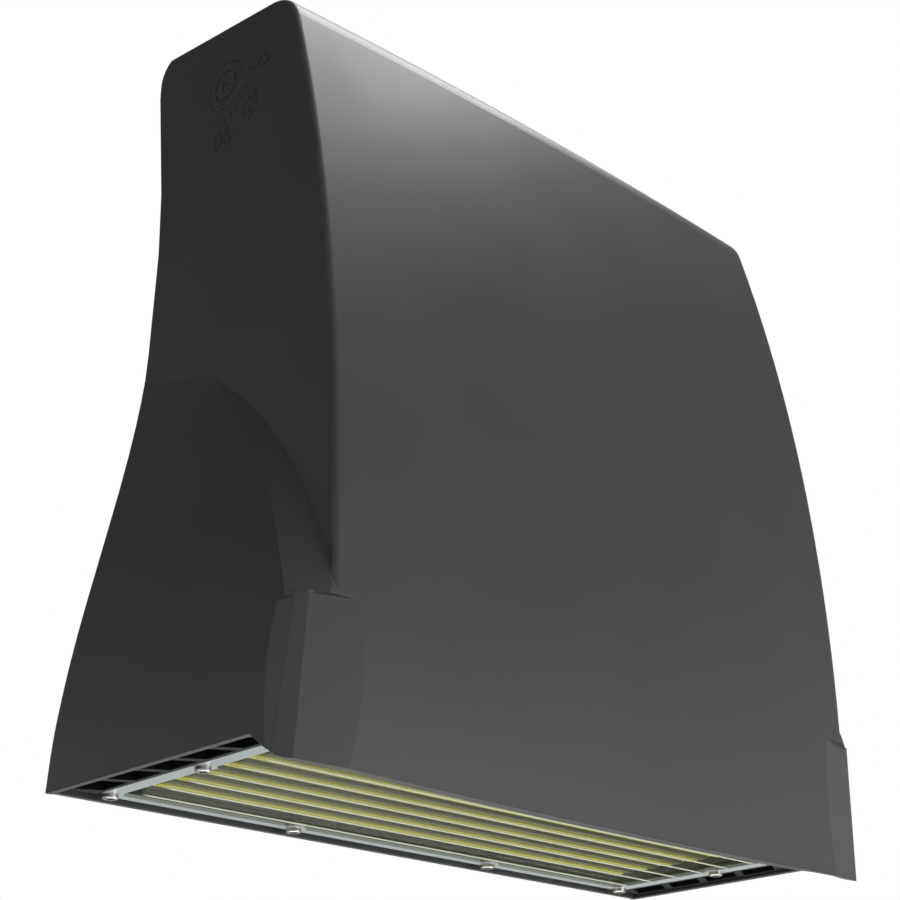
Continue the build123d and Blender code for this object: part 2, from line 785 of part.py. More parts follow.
# ---- rear cover, its gasket and screws ---------------------------------------------------
gland_y = -(axis_to_wall - riser_behind - 15)
vent_x = -62.0
with BuildPart() as rear_cover:
    add(close_inner)
    add(cover_layer(0, cover_wall, 0), mode=Mode.INTERSECT)
    # standoffs of the driver bracket
    with BuildSketch(on_cover(bracket_drop, cover_wall - 0.5)):
        bracket_x = bracket_length - 2 * bracket_hole_edge
        bracket_y = bracket_width - 2 * bracket_hole_edge
        with GridLocations(bracket_x, bracket_y, 2, 2):
            Circle(4.5)
    extrude(amount=bracket_standoff + 0.5)
    with BuildSketch(on_cover(bracket_drop, cover_wall + bracket_standoff)):
        with GridLocations(bracket_x, bracket_y, 2, 2):
            Circle(2.0 + thread_fit)
    extrude(amount=-(bracket_standoff - 1), mode=Mode.SUBTRACT)
    for x, drop in cover_screw_places:
        with BuildSketch(on_cover(drop)):
            with Locations((x, 0)):
                Circle(cover_screw_radius + thread_fit)
        extrude(amount=cover_wall + 0.5, mode=Mode.SUBTRACT)
        with Locations(on_cover(drop).location * Pos(x, 0, 0)):
            Cone(
                cover_screw_head + thread_fit,
                cover_screw_radius + thread_fit,
                cover_screw_sink,
                align=(Align.CENTER, Align.CENTER, Align.MIN),
                mode=Mode.SUBTRACT,
            )
    for x in (0, vent_x):
        with Locations((x, gland_y, -shelf_drop)):
            Cylinder(gland_radius + thread_fit, 4 * cover_wall, mode=Mode.SUBTRACT)
save(rear_cover.part, "rear_cover")

with BuildPart() as cover_gasket_ring:
    add(close_inner)
    add(cover_layer(cover_wall, cover_rib_low, cover_rib_foot), mode=Mode.INTERSECT)
    add(head_form(shell_wall + cover_rib_width - 0.5), mode=Mode.SUBTRACT)
    for x, drop in cover_screw_places:
        with BuildSketch(on_cover(drop)):
            with Locations((x, 0)):
                Circle(cover_screw_radius + thread_fit)
        extrude(amount=cover_rib_low + 0.5, mode=Mode.SUBTRACT)
save(cover_gasket_ring.part, "cover_gasket")

cover_screw = flat_screw(cover_screw_radius, 14.0, cover_screw_head, cover_screw_sink)
with BuildPart() as cover_screws:
    for x, drop in cover_screw_places:
        add((on_cover(drop).location * Pos(x, 0, 0)) * cover_screw)
save(cover_screws.part, "cover_screws")

# ---- light tray ----------------------------------------------------------------------------
with BuildPart() as light_tray:
    add(close_inner)
    front_limit = in_front_of_all - frame_rear - tray_gap
    with Locations((0, -frame_rear - tray_gap, mouth + tray_recess)):
        Box(
            2 * beyond_side,
            front_limit,
            tray_height,
            align=(Align.CENTER, Align.MAX, Align.MIN),
            mode=Mode.INTERSECT,
        )
    # seat of the lens and its frame
    with BuildSketch(level(tray_recess)):
        add(frame_outline(tray_gap))
        with Locations((0, frame_depth / 2)):
            Rectangle(2 * (frame_half + tray_gap), 2 * frame_corner)
    extrude(amount=ledge_low - tray_recess, mode=Mode.SUBTRACT)
    # room over the ledge
    with BuildSketch(level(ledge_top)):
        RectangleRounded(2 * frame_half - 4, frame_depth - 5, frame_corner)
    extrude(amount=tray_height, mode=Mode.SUBTRACT)
    with BuildSketch(level(ledge_low)):
        RectangleRounded(2 * mouth_half, frame_depth - 2 * mouth_edge, 3)
    extrude(amount=tray_ledge, mode=Mode.SUBTRACT)
    # pockets with slanted ribs along both side bands
    band_start = frame_rear + 4
    band_end = visor_start - 3
    pitch = (band_end - band_start) / pocket_count
    for index in range(pocket_count):
        near = band_start + index * pitch
        far = near + pitch - pocket_rib
        inner_x = frame_half + pocket_margin
        rear_x = skirt_half - shell_wall - side_fit - pocket_margin
        toe_near = near * tan(radians(skirt_toe))
        toe_far = far * tan(radians(skirt_toe))
        with BuildSketch(Plane(origin=(0, 0, mouth + tray_recess))):
            with BuildLine():
                Polyline(
                    (inner_x, -near - pocket_slant),
                    (rear_x - toe_near, -near + pocket_slant / 2),
                    (rear_x - toe_far, -far + pocket_slant / 2),
                    (inner_x, -far - pocket_slant),
                    close=True,
                )
            make_face()
            mirror(about=Plane.YZ)
        extrude(amount=pocket_depth, mode=Mode.SUBTRACT)
    with BuildSketch(level(ledge_low)):
        with Locations(*frame_screw_places):
            Circle(frame_screw_radius + thread_fit)
        with Locations(*sink_screw_places):
            Circle(sink_screw_radius + thread_fit)
    extrude(amount=tray_height, mode=Mode.SUBTRACT)
    for x, y in tray_screw_places:
        with Locations((x, y, mouth + tray_top)):
            Cylinder(tray_screw_radius + thread_fit, 8, mode=Mode.SUBTRACT)
save(light_tray.part, "light_tray")

tray_screw = Rot(180, 0, 0) * cross_screw(tray_screw_radius, tray_screw_length, 3.8, 2.2)
with BuildPart() as tray_screws:
    with Locations(*[(x, y, mouth + lug_low + lug_height) for x, y in tray_screw_places]):
        add(tray_screw)
save(tray_screws.part, "tray_screws")

# ---- lens, its frame and gasket -------------------------------------------------------------
with BuildPart() as lens_frame:
    with BuildSketch(level(frame_low)):
        add(frame_outline(0))
        window_x = 2 * (frame_half - frame_side_band)
        RectangleRounded(window_x, frame_depth - 2 * frame_long_band, 4, mode=Mode.SUBTRACT)
        with Locations(*frame_screw_places):
            Circle(lobe_radius)
        RectangleRounded(2 * frame_half, frame_depth, frame_corner, mode=Mode.INTERSECT)
        with Locations(*frame_screw_places):
            Circle(frame_screw_radius + thread_fit, mode=Mode.SUBTRACT)
    extrude(amount=frame_sheet)
save(lens_frame.part, "lens_frame")

with BuildPart() as lens:
    with BuildSketch(level(lens_low)):
        add(frame_outline(-lens_edge))
        with Locations(*frame_screw_places):
            Circle(frame_screw_radius + thread_fit, mode=Mode.SUBTRACT)
    extrude(amount=lens_sheet)
    rib_arc = (rib_width / 2) ** 2 / (2 * rib_height) + rib_height / 2
    rib_half = frame_half - frame_side_band - 2.5
    for y in rows:
        rib_end = (-rib_half, frame_middle + y, mouth + lens_low)
        with BuildSketch(Plane(origin=rib_end, x_dir=(0, 1, 0), z_dir=(1, 0, 0))):
            with BuildLine():
                ThreePointArc((-rib_width / 2, 0), (0, -rib_height), (rib_width / 2, 0))
                Polyline(
                    (rib_width / 2, 0),
                    (rib_width / 2, lens_sheet / 2),
                    (-rib_width / 2, lens_sheet / 2),
                    (-rib_width / 2, 0),
                )
            make_face()
        extrude(amount=2 * rib_half)
save(lens.part, "lens")

with BuildPart() as lens_gasket:
    with BuildSketch(level(lens_top)):
        add(frame_outline(-lens_edge))
        RectangleRounded(
            2 * (frame_half - lens_edge - lens_gasket_width),
            frame_depth - 2 * lens_edge - 2 * lens_gasket_width,
            2,
            mode=Mode.SUBTRACT,
        )
        with Locations(*frame_screw_places):
            Circle(frame_screw_radius + thread_fit, mode=Mode.SUBTRACT)
    extrude(amount=lens_gasket_sheet)
save(lens_gasket.part, "lens_gasket")

frame_screw = cross_screw(
    frame_screw_radius, frame_screw_length, frame_screw_head, frame_screw_head_height
)
with BuildPart() as lens_screws:
    with Locations(*[(x, frame_middle + y, mouth + frame_low) for x, y in frame_screw_places]):
        add(frame_screw)
save(lens_screws.part, "lens_screws")

# ---- light engine ------------------------------------------------------------------------------
fin_half = sink_half - 21
with BuildPart() as heat_sink:
    with BuildSketch(level(ledge_top)):
        Rectangle(2 * sink_half, sink_depth)
        with Locations(*sink_screw_places):
            Circle(sink_screw_radius + thread_fit, mode=Mode.SUBTRACT)
    extrude(amount=sink_plate)
    fin_pitch = (sink_depth - 22) / (fin_count - 1)
    with BuildSketch(level(sink_top - 0.5)):
        with GridLocations(0, fin_pitch, 1, fin_count):
            Rectangle(2 * fin_half, fin_thickness)
    extrude(amount=fin_height + 0.5)
save(heat_sink.part, "heat_sink")

sink_screw = Rot(180, 0, 0) * cross_screw(sink_screw_radius, sink_plate + tray_ledge - 0.5, 2.2, 1.5)
with BuildPart() as heat_sink_screws:
    with Locations(*[(x, frame_middle + y, mouth + sink_top) for x, y in sink_screw_places]):
        add(sink_screw)
save(heat_sink_screws.part, "heat_sink_screws")

with BuildPart() as led_boards:
    with BuildSketch(level(board_low)):
        with Locations(*[(0, y) for y in rows]):
            Rectangle(2 * board_half, board_width)
    extrude(amount=board_sheet)
save(led_boards.part, "led_boards")

with BuildPart() as phosphor_strips:
    with BuildSketch(level(phosphor_low)):
        with Locations(*[(0, y) for y in rows]):
            SlotOverall(2 * phosphor_half, phosphor_width)
    extrude(amount=phosphor_height)
save(phosphor_strips.part, "phosphor_strips")

# ---- driver, surge protector and wiring -----------------------------------------------------------
bracket_lift = cover_wall + bracket_standoff
with BuildPart() as driver_bracket:
    with BuildSketch(on_cover(bracket_drop, bracket_lift)):
        RectangleRounded(bracket_length, bracket_width, 4)
        with GridLocations(bracket_x, bracket_y, 2, 2):
            Circle(2.0 + thread_fit, mode=Mode.SUBTRACT)
        ear_x = driver_length + driver_ear
        with Locations((0, driver_offset)):
            with GridLocations(ear_x, driver_width / 2, 2, 2):
                Circle(2.0 + thread_fit, mode=Mode.SUBTRACT)
    extrude(amount=bracket_sheet)
save(driver_bracket.part, "driver_bracket")

driver_lift = bracket_lift + bracket_sheet
with BuildPart() as driver:
    with BuildSketch(on_cover(bracket_drop, driver_lift)):
        with Locations((0, driver_offset)):
            Rectangle(driver_length, driver_width)
    extrude(amount=driver_height)
    fillet(faces().sort_by(Axis.Y)[0].edges(), radius=2)
    with BuildSketch(on_cover(bracket_drop, driver_lift)):
        with Locations((0, driver_offset)):
            Rectangle(driver_length + 2 * driver_ear, driver_width - 4)
            with GridLocations(ear_x, driver_width / 2, 2, 2):
                Circle(2.0 + thread_fit, mode=Mode.SUBTRACT)
    extrude(amount=driver_ear_sheet)
save(driver.part, "driver")

machine_screw = Rot(180, 0, 0) * cross_screw(2.0, 8.0, 3.8, 2.2)
with BuildPart() as driver_screws:
    corner_plane = on_cover(bracket_drop, driver_lift)
    for x in (-bracket_x / 2, bracket_x / 2):
        for y in (-bracket_y / 2, bracket_y / 2):
            add((corner_plane.location * Pos(x, y, 0)) * machine_screw)
    for x in (-ear_x / 2, ear_x / 2):
        for y in (driver_offset - driver_width / 4, driver_offset + driver_width / 4):
            add((corner_plane.location * Pos(x, y, driver_ear_sheet)) * machine_screw)
save(driver_screws.part, "driver_screws")

with BuildPart() as surge_protector:
    with BuildSketch(on_cover(bracket_drop, driver_lift)):
        with Locations((-60, surge_offset)):
            RectangleRounded(surge_length, surge_width, 3)
    extrude(amount=surge_height)
    fillet(faces().sort_by(Axis.Y)[0].edges(), radius=2)
save(surge_protector.part, "surge_protector")


def gland(wall, body_below):
    """Cable gland clamped on a wall under it, its cap up, the wall's top at zero."""
    with BuildPart() as made:
        Cylinder(
            gland_radius,
            wall + gland_flange + body_below,
            align=(Align.CENTER, Align.CENTER, Align.MAX),
        )
        with Locations((0, 0, -wall)):
            Cylinder(
                gland_radius + 3, gland_flange, align=(Align.CENTER, Align.CENTER, Align.MAX)
            )
        Cylinder(
            gland_radius + 3, gland_flange, align=(Align.CENTER, Align.CENTER, Align.MIN)
        )
        with Locations((0, 0, gland_flange)):
            Cylinder(gland_radius - 0.5, 6, align=(Align.CENTER, Align.CENTER, Align.MIN))
        fillet(edges().filter_by(GeomType.CIRCLE).sort_by(Axis.Z)[-1], radius=2)
        Cylinder(lead_radius + thread_fit, 80, mode=Mode.SUBTRACT)
    return made.part


with BuildPart() as cover_gland:
    with Locations((0, gland_y, -shelf_drop)):
        add(gland(cover_wall, 3))
save(cover_gland.part, "cover_gland")

with BuildPart() as breather_vent:
    with Locations((vent_x, gland_y, -shelf_drop)):
        Cylinder(gland_radius, cover_wall + 5, align=(Align.CENTER, Align.CENTER, Align.MAX))
        Cylinder(gland_radius + 2.5, 3, align=(Align.CENTER, Align.CENTER, Align.MIN))
    with Locations((vent_x, gland_y, -shelf_drop + 3)):
        Cylinder(vent_radius - 2, 1.5, align=(Align.CENTER, Align.CENTER, Align.MIN))
save(breather_vent.part, "breather_vent")

lead_plane = Plane(origin=(0, gland_y, 0), x_dir=(1, 0, 0), z_dir=(0, -1, 0))
lean = radians(cover_lean)
driver_end_lift = (-gland_y - cover_depth(bracket_drop) - driver_offset * sin(lean)) / cos(lean)
driver_end_z = -bracket_drop + driver_offset * cos(lean) - driver_end_lift * sin(lean)
turn = 14.0
with BuildPart() as input_leads:
    with BuildLine(lead_plane):
        FilletPolyline(
            (0, -shelf_drop),
            (0, -shelf_drop - 32),
            (-driver_length / 2 - 30, -shelf_drop - 32),
            (-driver_length / 2 - 30, driver_end_z),
            (-driver_length / 2, driver_end_z),
            radius=turn,
        )
    with BuildSketch(Plane(origin=(0, gland_y, -shelf_drop), z_dir=(0, 0, -1))):
        Circle(lead_radius)
    sweep()
save(input_leads.part, "input_leads")

with BuildPart() as output_leads:
    with BuildLine(lead_plane):
        FilletPolyline(
            (driver_length / 2, driver_end_z),
            (sink_half - 11, driver_end_z),
            (sink_half - 11, mouth + sink_top),
            radius=turn,
        )
    with BuildSketch(Plane(origin=(driver_length / 2, gland_y, driver_end_z), z_dir=(1, 0, 0))):
        Circle(lead_radius)
    sweep()
save(output_leads.part, "output_leads")

# ---- wall box, its plate and gasket ------------------------------------------------------------------
def box_outline(inset, rear):
    """Side outline of the wall box, set in, from a distance off the wall."""
    roll = drum_radius - inset
    top = box_top - inset
    reach = sqrt(roll**2 - top**2)
    with BuildSketch() as drawn:
        with BuildLine():
            Polyline((rear, top), (axis_to_wall + reach, top))
            ThreePointArc(
                (axis_to_wall + reach, top), (axis_to_wall + roll, 0), (axis_to_wall, -roll)
            )
            Polyline((axis_to_wall, -roll), (rear, -roll), (rear, top))
        make_face()
    return drawn.sketch


rim_top = box_top - box_rim
rim_bottom = -drum_radius + box_rim
rim_x = 2 * (box_half - box_rim)
key_fit = 0.1
lock_y = -(gasket_thickness + plate_flange_reach / 2 + 3)
lock_places = [(-lock_screw_spacing / 2, lock_y), (lock_screw_spacing / 2, lock_y)]
box_gland_place = (62.0, -(axis_to_wall - 34))
with BuildPart() as wall_box:
    with BuildSketch(side_view):
        add(box_outline(0, gasket_thickness))
    extrude(amount=box_half, both=True)
    with BuildSketch(side_view):
        add(box_outline(box_wall, gasket_thickness + box_rim_thickness))
    extrude(amount=box_half - box_end_wall, both=True, mode=Mode.SUBTRACT)
    with Locations((0, 0, (rim_top + rim_bottom) / 2)):
        Box(rim_x, 4 * box_rim_thickness, rim_top - rim_bottom, mode=Mode.SUBTRACT)
    for side in sides:
        with BuildSketch(cheek_view(side, box_half - box_end_wall - box_boss_depth)):
            Circle(box_boss_radius)
        extrude(amount=box_boss_depth + 1)
        with BuildSketch(cheek_view(side, box_half)):
            RegularPolygon(hub_key_across / 2 + key_fit, 6, major_radius=False)
        extrude(amount=-hub_key_depth - key_fit, mode=Mode.SUBTRACT)
        with BuildSketch(cheek_view(side, box_half)):
            Circle(bolt_radius + thread_fit)
        extrude(amount=-2 * (box_end_wall + box_boss_depth), mode=Mode.SUBTRACT)
    for x, y in lock_places:
        with Locations((x, y, -drum_radius + 1)):
            Cylinder(
                lock_boss_radius,
                drum_radius - 1 + rim_bottom + 2 - 0.3,
                align=(Align.CENTER, Align.CENTER, Align.MIN),
            )
            Cylinder(2.5 + thread_fit, 40, mode=Mode.SUBTRACT)
    with Locations((*box_gland_place, -drum_radius)):
        Cylinder(gland_radius + thread_fit, 4 * box_wall, mode=Mode.SUBTRACT)
save(wall_box.part, "wall_box")

with BuildPart() as wall_gasket:
    with Locations((0, -gasket_thickness / 2, (box_top - drum_radius) / 2)):
        Box(2 * box_half, gasket_thickness, box_top + drum_radius)
    with Locations((0, 0, (rim_top + rim_bottom) / 2)):
        Box(rim_x, 4 * gasket_thickness, rim_top - rim_bottom, mode=Mode.SUBTRACT)
save(wall_gasket.part, "wall_gasket")

plate_low = rim_bottom + 2
plate_high = rim_top - 2
hook_reach = gasket_thickness + box_rim_thickness + 0.3 + plate_thickness
with BuildPart() as mounting_plate:
    with BuildSketch(Plane.XZ):
        with Locations((0, (plate_low + plate_high) / 2)):
            Rectangle(2 * plate_half, plate_high - plate_low)
        Circle(wire_opening_radius, mode=Mode.SUBTRACT)
        with GridLocations(box_screw_spacing, 0, 2, 1):
            SlotOverall(box_slot_length, 2 * box_slot_radius, mode=Mode.SUBTRACT)
        with GridLocations(anchor_spacing_x, anchor_spacing_z, 2, 2):
            Circle(anchor_radius, mode=Mode.SUBTRACT)
        with Locations((ground_x, 0)):
            Circle(2.0 + thread_fit, mode=Mode.SUBTRACT)
    extrude(amount=plate_thickness)
    # flange for the lock screws, under the plate
    with Locations((0, 0, plate_low)):
        Box(
            2 * plate_half,
            plate_flange_reach,
            plate_thickness,
            align=(Align.CENTER, Align.MAX, Align.MIN),
        )
    # two hooks over the upper rim of the box
    for x in (-plate_half / 2, plate_half / 2):
        with Locations((x, 0, plate_high)):
            Box(40, hook_reach, plate_thickness, align=(Align.CENTER, Align.MAX, Align.MAX))
        with Locations((x, -hook_reach, plate_high - plate_thickness)):
            Box(40, plate_thickness, 8, align=(Align.CENTER, Align.MIN, Align.MIN))
    for x, y in lock_places:
        with Locations((x, y, plate_low)):
            Cylinder(2.5 + thread_fit, 20, mode=Mode.SUBTRACT)
save(mounting_plate.part, "mounting_plate")

with BuildPart() as plate_lock_screws:
    with Locations(*[(x, y, -drum_radius) for x, y in lock_places]):
        add(cross_screw(2.5, 16.0, 4.7, 2.8))
save(plate_lock_screws.part, "plate_lock_screws")

# ---- tilt joint ------------------------------------------------------------------------------------------
for side, side_name in ((-1, "left"), (1, "right")):
    with BuildPart() as hub:
        with BuildSketch(cheek_view(side, cheek_half + hub_proud)):
            Circle(hub_radius)
        extrude(amount=-hub_plate)
        chamfer(edges().filter_by(GeomType.CIRCLE).sort_by(Axis.X)[-1 if side > 0 else 0], 0.3)
        with BuildSketch(cheek_view(side, cheek_half)):
            Circle(hub_shank_radius)
        extrude(amount=-(cheek_half - box_half))
        with BuildSketch(cheek_view(side, box_half + 0.5)):
            RegularPolygon(hub_key_across / 2, 6, major_radius=False)
        extrude(amount=-hub_key_depth - 0.5)
        with BuildSketch(cheek_view(side, box_half - hub_key_depth)):
            Circle(bolt_radius + thread_fit)
        extrude(amount=bolt_reach + 0.5, mode=Mode.SUBTRACT)
        with BuildSketch(cheek_view(side, cheek_half + hub_proud)):
            Circle(pointer_ring + 0.35)
            Circle(pointer_ring - 0.35, mode=Mode.SUBTRACT)
            with BuildLine():
                Polyline(
                    (pointer_length * 0.6, 0),
                    (-pointer_length * 0.4, pointer_length / 2),
                    (-pointer_length * 0.4, -pointer_length / 2),
                    close=True,
                )
            make_face()
        extrude(amount=-scale_relief, mode=Mode.SUBTRACT)
    save(hub.part, f"pivot_hub_{side_name}")

bolt_face = box_half - box_end_wall - box_boss_depth
with BuildPart() as hub_bolts:
    for side in sides:
        with BuildSketch(cheek_view(side, bolt_face)):
            Circle(bolt_washer_radius)
        extrude(amount=-bolt_washer_thickness)
        with BuildSketch(cheek_view(side, bolt_face - bolt_washer_thickness)):
            RegularPolygon(bolt_head_across / 2, 6, major_radius=False)
        extrude(amount=-bolt_head_height)
        with BuildSketch(cheek_view(side, bolt_face - 1)):
            Circle(bolt_radius)
        extrude(amount=box_half - hub_key_depth - bolt_face + bolt_reach + 1)
save(hub_bolts.part, "hub_bolts")

with BuildPart() as friction_washers:
    for side in sides:
        with BuildSketch(cheek_view(side, box_half)):
            Circle(washer_radius)
            Circle(hub_shank_radius + 0.2, mode=Mode.SUBTRACT)
        extrude(amount=washer_thickness)
save(friction_washers.part, "friction_washers")

# ---- supply side in the wall box ------------------------------------------------------------------------
with BuildPart() as terminal_block:
    with Locations((-40, -(axis_to_wall - 10), -drum_radius + box_wall)):
        Box(36, 18, 14, align=(Align.CENTER, Align.CENTER, Align.MIN))
        with Locations((0, 0, 14)):
            Box(36, 8, 5, align=(Align.CENTER, Align.CENTER, Align.MIN))
        with GridLocations(11, 0, 3, 1):
            with Locations((0, -9, 7)):
                Cylinder(2.2, 12, rotation=(90, 0, 0), mode=Mode.SUBTRACT)
            with Locations((0, 0, 19)):
                Cylinder(2.2, 4, mode=Mode.SUBTRACT)
save(terminal_block.part, "terminal_block")

with BuildPart() as ground_screw:
    with Locations((ground_x, -plate_thickness, 0)):
        add(Rot(-90, 0, 0) * cross_screw(2.0, 1.9, 4.2, 2.4))
save(ground_screw.part, "ground_screw")

with BuildPart() as box_gland:
    with Locations((*box_gland_place, -drum_radius)):
        add(Rot(180, 0, 0) * gland(box_wall, 2))
save(box_gland.part, "box_gland")
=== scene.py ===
"""Wall pack light: finishes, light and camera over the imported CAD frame."""

import logging
import math
from dataclasses import dataclass, field
from enum import Enum

import bmesh
import bpy
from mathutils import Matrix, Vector


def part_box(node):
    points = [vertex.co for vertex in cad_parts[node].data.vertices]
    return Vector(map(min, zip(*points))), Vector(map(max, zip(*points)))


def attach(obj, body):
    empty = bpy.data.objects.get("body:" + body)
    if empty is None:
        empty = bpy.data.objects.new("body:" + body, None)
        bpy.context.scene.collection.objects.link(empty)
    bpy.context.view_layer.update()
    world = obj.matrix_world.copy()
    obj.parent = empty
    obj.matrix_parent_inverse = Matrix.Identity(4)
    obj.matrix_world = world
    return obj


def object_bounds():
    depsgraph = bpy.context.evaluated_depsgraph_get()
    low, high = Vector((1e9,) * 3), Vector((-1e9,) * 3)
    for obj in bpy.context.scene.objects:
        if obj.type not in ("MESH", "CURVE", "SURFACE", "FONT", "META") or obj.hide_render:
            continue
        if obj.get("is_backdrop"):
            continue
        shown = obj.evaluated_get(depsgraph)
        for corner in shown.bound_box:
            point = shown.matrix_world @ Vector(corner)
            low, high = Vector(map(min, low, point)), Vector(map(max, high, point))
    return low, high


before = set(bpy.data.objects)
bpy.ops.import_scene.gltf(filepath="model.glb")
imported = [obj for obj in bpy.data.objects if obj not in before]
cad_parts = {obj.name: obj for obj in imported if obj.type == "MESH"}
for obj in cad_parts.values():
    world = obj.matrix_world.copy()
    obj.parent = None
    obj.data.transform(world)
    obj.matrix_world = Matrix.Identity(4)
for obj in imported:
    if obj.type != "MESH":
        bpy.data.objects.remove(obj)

log = logging.getLogger("wall_pack")
Socket = bpy.types.NodeSocket
Tree = bpy.types.ShaderNodeTree
Links = dict[str, Socket]

MM = 0.001
# soft clouds of tone and gloss are this many grains wide
CLOUD_GRAINS = 45
# sockets of the colour variant of Blender's mix node
FIRST_COLOUR, SECOND_COLOUR, MIXED_COLOUR = 6, 7, 2


def linear(shade: str) -> tuple[float, float, float, float]:
    """Turns an sRGB hex colour to linear light.

    Args:
        shade: Six hex digits, with or without a leading hash.

    Returns:
        Red, green and blue in linear light, and an alpha of one.
    """
    digits = shade.lstrip("#")
    parts = [int(digits[i : i + 2], 16) / 255 for i in (0, 2, 4)]
    red, green, blue = (c / 12.92 if c <= 0.04045 else ((c + 0.055) / 1.055) ** 2.4 for c in parts)
    return red, green, blue, 1.0


def add_node(tree: Tree, kind: str, settings: dict[str, object], links: Links) -> bpy.types.Node:
    """Adds one shader node with its settings and incoming links.

    Args:
        tree: Node tree that gets the node.
        kind: Blender's type name of the node.
        settings: Node properties, or input names with a value.
        links: Input names with the socket that feeds each.

    Returns:
        The new node.
    """
    node = tree.nodes.new(kind)
    for name, value in settings.items():
        if name in node.inputs:
            node.inputs[name].default_value = value
        else:
            setattr(node, name, value)
    for name, source in links.items():
        tree.links.new(source, node.inputs[name])
    return node


def per_metre(size_mm: float) -> float:
    """Texture scale that gives features of a real size in millimetres."""
    return 1.0 / (size_mm * MM)


class Make(Enum):
    """How a surface was made, which decides its grain."""

    COATED = "powder coated"
    BRUSHED = "brushed"
    MOULDED = "moulded"


@dataclass(frozen=True)
class Softening:
    """Edges that die casting and a thick coat leave rounded on the lower part of a piece."""

    radius_mm: float
    foot: float
    upper_radius_mm: float = 0.2
    full_mm: float = 150.0
    none_mm: float = 185.0
    rays: int = 6

    def normal(self, tree: Tree) -> Socket:
        """Adds the rounded normal.

        Args:
            tree: Node tree of the finish.

        Returns:
            Socket with the normal, almost plain above the softened part.
        """
        place = add_node(tree, "ShaderNodeTexCoord", {}, {}).outputs["Object"]
        height = add_node(tree, "ShaderNodeSeparateXYZ", {}, {"Vector": place}).outputs["Z"]
        radius = add_node(
            tree,
            "ShaderNodeMapRange",
            {
                "From Min": self.foot + self.full_mm * MM,
                "From Max": self.foot + self.none_mm * MM,
                "To Min": self.radius_mm * MM,
                "To Max": self.upper_radius_mm * MM,
            },
            {"Value": height},
        ).outputs["Result"]
        rounded = add_node(tree, "ShaderNodeBevel", {"samples": self.rays}, {"Radius": radius})
        return rounded.outputs["Normal"]


@dataclass(frozen=True)
class Finish:
    """An opaque finish with mottled colour, uneven gloss and fine relief."""

    name: str
    make: Make
    shade: str
    worn_shade: str
    roughness: float
    metallic: float = 0.0
    ior: float = 1.5
    grain_mm: float = 0.8
    relief_mm: float = 0.01
    relief_strength: float = 0.35
    gloss_spread: float = 0.06
    specular: float = 0.5

    def material(self, softening: "Softening | None" = None) -> bpy.types.Material:
        """Builds the finish.

        Args:
            softening: Where a thick coat rounds the edges off, if it does.

        Returns:
            The node-based material.
        """
        made = bpy.data.materials.new(self.name if softening is None else f"{self.name}_thick")
        made.use_nodes = True
        tree = made.node_tree
        shader = tree.nodes["Principled BSDF"]
        place = add_node(tree, "ShaderNodeTexCoord", {}, {}).outputs["Object"]
        if self.make is Make.BRUSHED:
            # brush strokes are drawn ten times longer than they are wide
            stretch = {"Scale": (0.1, 1.0, 1.0)}
            place = add_node(tree, "ShaderNodeMapping", stretch, {"Vector": place}).outputs["Vector"]
        grain = add_node(
            tree,
            "ShaderNodeTexNoise",
            {"Scale": per_metre(self.grain_mm), "Detail": 3.0, "Roughness": 0.6},
            {"Vector": place},
        )
        cloud = add_node(
            tree,
            "ShaderNodeTexNoise",
            {"Scale": per_metre(self.grain_mm * CLOUD_GRAINS), "Detail": 2.0},
            {"Vector": place},
        )
        gloss = add_node(
            tree,
            "ShaderNodeMapRange",
            {
                "To Min": self.roughness - self.gloss_spread,
                "To Max": self.roughness + self.gloss_spread,
            },
            {"Value": cloud.outputs["Fac"]},
        )
        tone = add_node(
            tree,
            "ShaderNodeMix",
            {"data_type": "RGBA"},
            {"Factor": cloud.outputs["Fac"]},
        )
        tone.inputs[FIRST_COLOUR].default_value = linear(self.shade)
        tone.inputs[SECOND_COLOUR].default_value = linear(self.worn_shade)
        relief = add_node(
            tree,
            "ShaderNodeBump",
            {"Strength": self.relief_strength, "Distance": self.relief_mm * MM},
            {"Height": grain.outputs["Fac"]},
        )
        if softening is not None:
            tree.links.new(softening.normal(tree), relief.inputs["Normal"])
        tree.links.new(tone.outputs[MIXED_COLOUR], shader.inputs["Base Color"])
        tree.links.new(gloss.outputs["Result"], shader.inputs["Roughness"])
        tree.links.new(relief.outputs["Normal"], shader.inputs["Normal"])
        shader.inputs["Metallic"].default_value = self.metallic
        shader.inputs["IOR"].default_value = self.ior
        shader.inputs["Specular IOR Level"].default_value = self.specular
        return made


@dataclass(frozen=True)
class ClearPolycarbonate:
    """Injection moulded clear polycarbonate: a thin glossy skin with a faint haze."""

    name: str = "polycarbonate_moulded_clear"
    haze: str = "#7b8068"
    body: float = 0.12
    ior: float = 1.585
    roughness: float = 0.08
    flow_mm: float = 14.0
    relief_mm: float = 0.05
    relief_strength: float = 0.1

    def material(self) -> bpy.types.Material:
        """Builds the finish.

        Returns:
            The node-based material.
        """
        made = bpy.data.materials.new(self.name)
        made.use_nodes = True
        tree = made.node_tree
        shader = tree.nodes["Principled BSDF"]
        place = add_node(tree, "ShaderNodeTexCoord", {}, {}).outputs["Object"]
        flow = add_node(
            tree,
            "ShaderNodeTexNoise",
            {"Scale": per_metre(self.flow_mm), "Detail": 1.0},
            {"Vector": place},
        )
        relief = add_node(
            tree,
            "ShaderNodeBump",
            {"Strength": self.relief_strength, "Distance": self.relief_mm * MM},
            {"Height": flow.outputs["Fac"]},
        )
        tree.links.new(relief.outputs["Normal"], shader.inputs["Normal"])
        shader.inputs["Base Color"].default_value = linear(self.haze)
        shader.inputs["Roughness"].default_value = self.roughness
        shader.inputs["IOR"].default_value = self.ior
        shader.inputs["Alpha"].default_value = self.body
        return made


